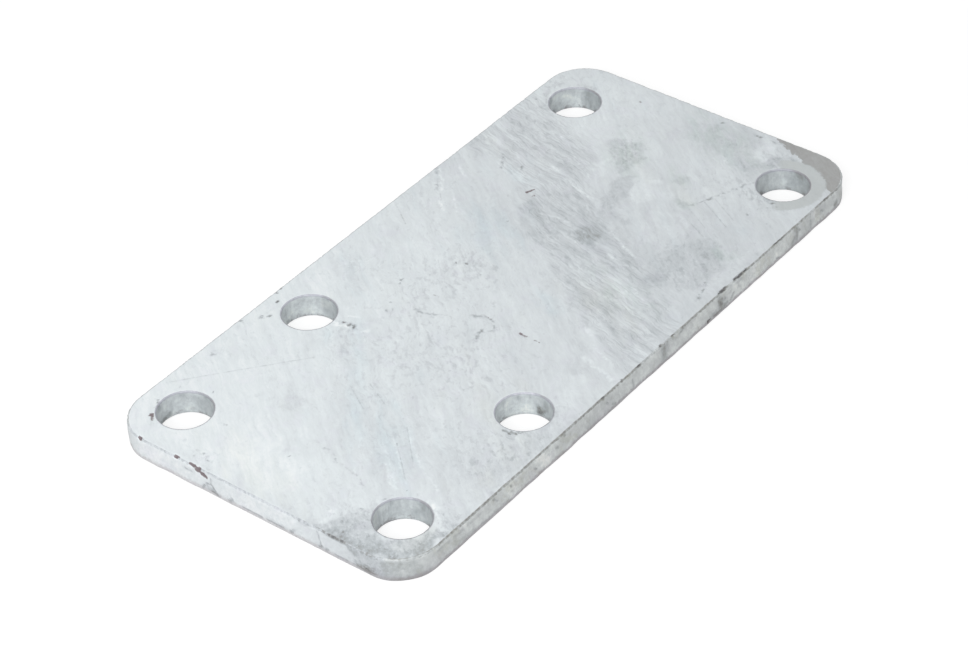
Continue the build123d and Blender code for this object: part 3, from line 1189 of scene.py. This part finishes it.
def zinc_under(colours):
    """Underside: plain weathered zinc."""
    graph = Graph(bpy.data.materials.new("zinc_under"))
    place = graph.place()
    swayed = graph.bend(place, 14, 2.4)
    broad = graph.strands(swayed, 52, 22, 5.5, 3, 0.5)
    brushed = graph.strands(swayed, 54, 7, 0.8)
    grain = graph.strands(swayed, 50, 2.2, 1.0, 4, 0.66)
    level = 213.0 + broad * 4.0 + brushed * 1.5 + grain * 2.5
    base = graph.zinc_colour(level, colours)
    base = graph.cast(base, graph.step(graph.cloud(place, 9, 3), 0.0, 2.0), colours.cool)
    return graph.finish(base, 0.58 - broad * 0.03, 0.05, (brushed + grain) * 0.05, 0.02)


def zinc_edge(colours):
    """Cut edge under the zinc: upright grooves, runs of film, a painted shade line along the arris and a
    painted brown contact shadow at the foot.
    """
    graph = Graph(bpy.data.materials.new("zinc_edge"))
    place = graph.place()
    x, y, z = (graph.part(place, axis) for axis in range(3))
    upwards = graph.node("ShaderNodeCombineXYZ", {}, {0: z, 1: z})
    leaning = graph.vector("MULTIPLY_ADD", upwards, (GROOVE_LEAN, GROOVE_LEAN, 0), place)
    grooves = graph.cloud(graph.vector("MULTIPLY", leaning, (1, 1, 0.14)), 1.4, 4, 0.6)
    runs = graph.cloud(graph.vector("MULTIPLY", leaning, (1, 1, 0.4)), 5, 4, 0.6)
    ragged = graph.cloud(place, 1.1, 4, 0.65)
    near = graph.step(x, LOW_X + 5, LOW_X + 1) * graph.step(y, LOW_Y + 3, LOW_Y + 12)
    back = graph.step(y, HIGH_Y - 30, HIGH_Y - 2)
    level = 213.0 + near * 14.0 + back * 4.0
    level = level + (runs * 8.0 + grooves * 4.6 + ragged * 3.2) * (1.0 - near * 0.6)
    level = level + graph.field("tone") * (1.25 + ragged * 0.3)

    # Painted shade: a dark line along the top arris, and a dark, brownish contact shadow along the foot
    arris = graph.step(z + ragged * 0.1, THICKNESS - 0.7, THICKNESS - 0.3)
    level = level - arris * (1.0 - near * 0.25) * (26.0 + ragged * 14.0 + runs * 6.0).most(0.0)
    foot = graph.step(z + ragged * 0.25, 2.4, 0.8)
    level = level - foot * (11.0 - near * 2.0 + runs * 6.0)
    level = graph.blend(level, 88.0, (graph.field("dark") * (1.0 + ragged * 0.3)).least(1.0))
    base = graph.zinc_colour(level, colours)
    # Warm cast on the walls away from the near end; at the foot the warm and mauve casts belong to its
    # painted contact shadow
    base = graph.cast(base, ((1.0 - near) * 0.45).most(foot * 0.8), colours.warm)
    base = graph.cast(base, foot * 0.8, colours.mauve)
    base = graph.cast(base, graph.step(runs, -0.4, -1.6) * (1.0 - near) * 0.5, colours.warm)
    base = graph.cast(base, graph.step(graph.cloud(place, 7, 2), 0.2, 1.8) * 0.25, colours.mauve)
    # Rust colour on the foot, part of its painted contact shadow
    base = graph.mix((foot * (0.26 - near * 0.2 - runs * 0.06)).most(0.0), base, (*colours.rust, 1))
    base = graph.chipped(base, ragged, colours)
    return graph.finish(base, 0.55 + grooves * 0.03, 0.05, grooves + ragged * 0.3, 0.03)


def zinc_bore(colours):
    """Walls of the holes: blotchy zinc with upright runs, a dark rim and a brown foot."""
    graph = Graph(bpy.data.materials.new("zinc_bore"))
    place = graph.place()
    z = graph.part(place, 2)
    grooves = graph.cloud(graph.vector("MULTIPLY", place, (1, 1, 0.22)), 1.2, 4, 0.6)
    runs = graph.cloud(graph.vector("MULTIPLY", place, (1, 1, 0.9)), 3.4, 4, 0.62)
    ragged = graph.cloud(place, 1.0, 4, 0.65)
    level = 212.0 + runs * 9.5 + grooves * 3.2 + ragged * 4.0 + graph.field("tone") * (1.0 + ragged * 0.2)
    rim = graph.step(z + ragged * 0.12, THICKNESS - 0.9, THICKNESS - 0.25)
    foot = graph.step(z + ragged * 0.35, 1.8, 0.4)
    level = level - rim * (26.0 + runs * 12.0) - foot * (5.0 + runs * 4.0)
    base = graph.zinc_colour(level, colours)
    base = graph.cast(base, 0.2, colours.green)
    base = graph.cast(base, graph.step(runs, 0.2, 1.8) * 0.3, colours.warm)
    base = graph.cast(base, rim, colours.mauve)
    brown = foot * graph.step(runs, 0.3, -1.0) * 0.5
    base = graph.chipped(base, ragged, colours, brown)
    return graph.finish(base, 0.42 + ragged * 0.03, 0.12, grooves + ragged * 0.3, 0.03)


def add_object(name, data):
    """Adds an object to the scene."""
    made = bpy.data.objects.new(name, data)
    bpy.context.scene.collection.objects.link(made)
    return made


class PLATE_OT_cover_plate(bpy.types.Operator):
    """Build the galvanised plate over its CAD node"""

    bl_idname = "plate.cover_plate"
    bl_label = "Cover plate"

    def execute(self, context):
        colours = context.scene.zinc_colours
        sizes = context.scene.plate_sizes
        mesh = plate_mesh(sizes)
        points, fields = weathered(mesh, sizes)
        data = bpy.data.meshes.new("galvanised_plate")
        data.from_pydata(points * MM, [], mesh.faces)
        for make in (zinc_top, zinc_under, zinc_edge, zinc_bore):
            data.materials.append(make(colours))
        data.polygons.foreach_set("material_index", mesh.kinds)
        data.polygons.foreach_set("use_smooth", [True] * len(mesh.faces))
        for name, values in fields.items():
            data.attributes.new(name, "FLOAT", "POINT").data.foreach_set("value", values)
        data.update()
        plate = add_object("galvanised_plate", data)
        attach(plate, "root")
        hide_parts(NODE)
        return {"FINISHED"}


# ---------------------------------------------------------------- stage


def floor_material(tint):
    """A pale floor that looks white and still takes the plate's shadow."""
    graph = Graph(bpy.data.materials.new("stage_floor"))
    watched = graph.ray("Is Camera Ray").most(graph.ray("Is Glossy Ray"))
    plain = graph.node("ShaderNodeBsdfDiffuse", {}, {"Color": (*tint, 1)})
    shaded = graph.node("ShaderNodeBsdfDiffuse", {}, {"Color": (0.3, 0.3, 0.3, 1)})
    glow = graph.node("ShaderNodeEmission", {}, {"Color": (1, 1, 1, 1), "Strength": 0.76})
    white = graph.node("ShaderNodeAddShader", {}, {0: shaded, 1: glow})
    seen = graph.node("ShaderNodeMixShader", {}, {0: watched, 1: plain, 2: white})
    graph.node("ShaderNodeOutputMaterial", {}, {"Surface": seen})
    return graph.owner


def sky(strength):
    """Even light all round, and white where the camera or a reflection sees it."""
    world = bpy.data.worlds.new("stage_sky")
    bpy.context.scene.world = world
    graph = Graph(world)
    seen = graph.ray("Is Camera Ray").most(graph.ray("Is Glossy Ray"))
    seen = seen.most(graph.ray("Is Transmission Ray"))
    level = strength + seen * (1.0 - strength)
    background = graph.node("ShaderNodeBackground", {}, {"Color": (1, 1, 1, 1), "Strength": level})
    graph.node("ShaderNodeOutputWorld", {}, {"Surface": background})


def soft_lamp(name, bearing, elevation, distance, size, power):
    """A round lamp that looks at the plate from a bearing and elevation in degrees."""
    data = bpy.data.lights.new(name, "AREA")
    data.shape = "DISK"
    data.size = size
    data.energy = power
    lamp = add_object(name, data)
    bearing, elevation = math.radians(bearing), math.radians(elevation)
    flat = math.cos(elevation)
    towards = Vector((math.cos(bearing) * flat, math.sin(bearing) * flat, math.sin(elevation)))
    lamp.location = towards * distance
    lamp.rotation_euler = towards.to_track_quat("Z", "Y").to_euler()


def camera(lens, aim, distance, azimuth, elevation, roll):
    """A camera that looks over the near, front corner."""
    data = bpy.data.cameras.new("camera")
    data.lens = lens
    data.sensor_width = 36
    data.clip_start = 0.01
    made = add_object("camera", data)
    azimuth, elevation, roll = (math.radians(angle) for angle in (azimuth, elevation, roll))
    flat = math.cos(elevation)
    back = Vector((math.sin(azimuth) * flat, -math.cos(azimuth) * flat, math.sin(elevation)))
    right = Matrix.Rotation(roll, 3, back) @ Vector((math.cos(azimuth), math.sin(azimuth), 0))
    axes = Matrix((right, back.cross(right), back)).transposed()
    made.matrix_world = Matrix.Translation(aim + back * distance) @ axes.to_4x4()
    bpy.context.scene.camera = made


class PLATE_OT_stage(bpy.types.Operator):
    """Lay the floor and set the lamps and the camera"""

    bl_idname = "plate.stage"
    bl_label = "Stage"

    def execute(self, context):
        stage = context.scene.stage_settings
        data = bpy.data.meshes.new("floor")
        reach = 3.0
        corners = [(-reach, -reach, 0), (reach, -reach, 0), (reach, reach, 0), (-reach, reach, 0)]
        data.from_pydata(corners, [], [(0, 1, 2, 3)])
        data.materials.append(floor_material(stage.floor))
        floor = add_object("floor", data)
        sky(stage.sky)
        soft_lamp("key_lamp", 205, 38, distance=1.1, size=0.6, power=stage.key_power)
        aim = Vector((-0.01488, -0.00576, BOX_HIGH.z))
        camera(stage.lens, aim, distance=0.9288, azimuth=-50.37, elevation=38.39, roll=-3.03)
        context.scene.view_settings.view_transform = "Standard"
        return {"FINISHED"}


class PLATE_PT_panel(bpy.types.Panel):
    """Buttons and settings for the plate"""

    bl_label = "Cover plate"
    bl_space_type = "VIEW_3D"
    bl_region_type = "UI"
    bl_category = "Plate"

    def draw(self, context):
        for operator in OPERATORS:
            self.layout.operator(operator.bl_idname)
        for name, group in GROUPS.items():
            for key in group.__annotations__:
                self.layout.prop(getattr(context.scene, name), key)


OPERATORS = (PLATE_OT_stage, PLATE_OT_cover_plate)
GROUPS = {"plate_sizes": PlateSizes, "zinc_colours": ZincColours, "stage_settings": StageSettings}


def register():
    for name, group in GROUPS.items():
        bpy.utils.register_class(group)
        setattr(bpy.types.Scene, name, bpy.props.PointerProperty(type=group))
    for panel_or_operator in (*OPERATORS, PLATE_PT_panel):
        bpy.utils.register_class(panel_or_operator)


def unregister():
    for panel_or_operator in (PLATE_PT_panel, *reversed(OPERATORS)):
        bpy.utils.unregister_class(panel_or_operator)
    for name, group in GROUPS.items():
        delattr(bpy.types.Scene, name)
        bpy.utils.unregister_class(group)


def main():
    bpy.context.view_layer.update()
    register()
    bpy.ops.plate.stage()
    bpy.ops.plate.cover_plate()


if __name__ == "__main__":
    main()
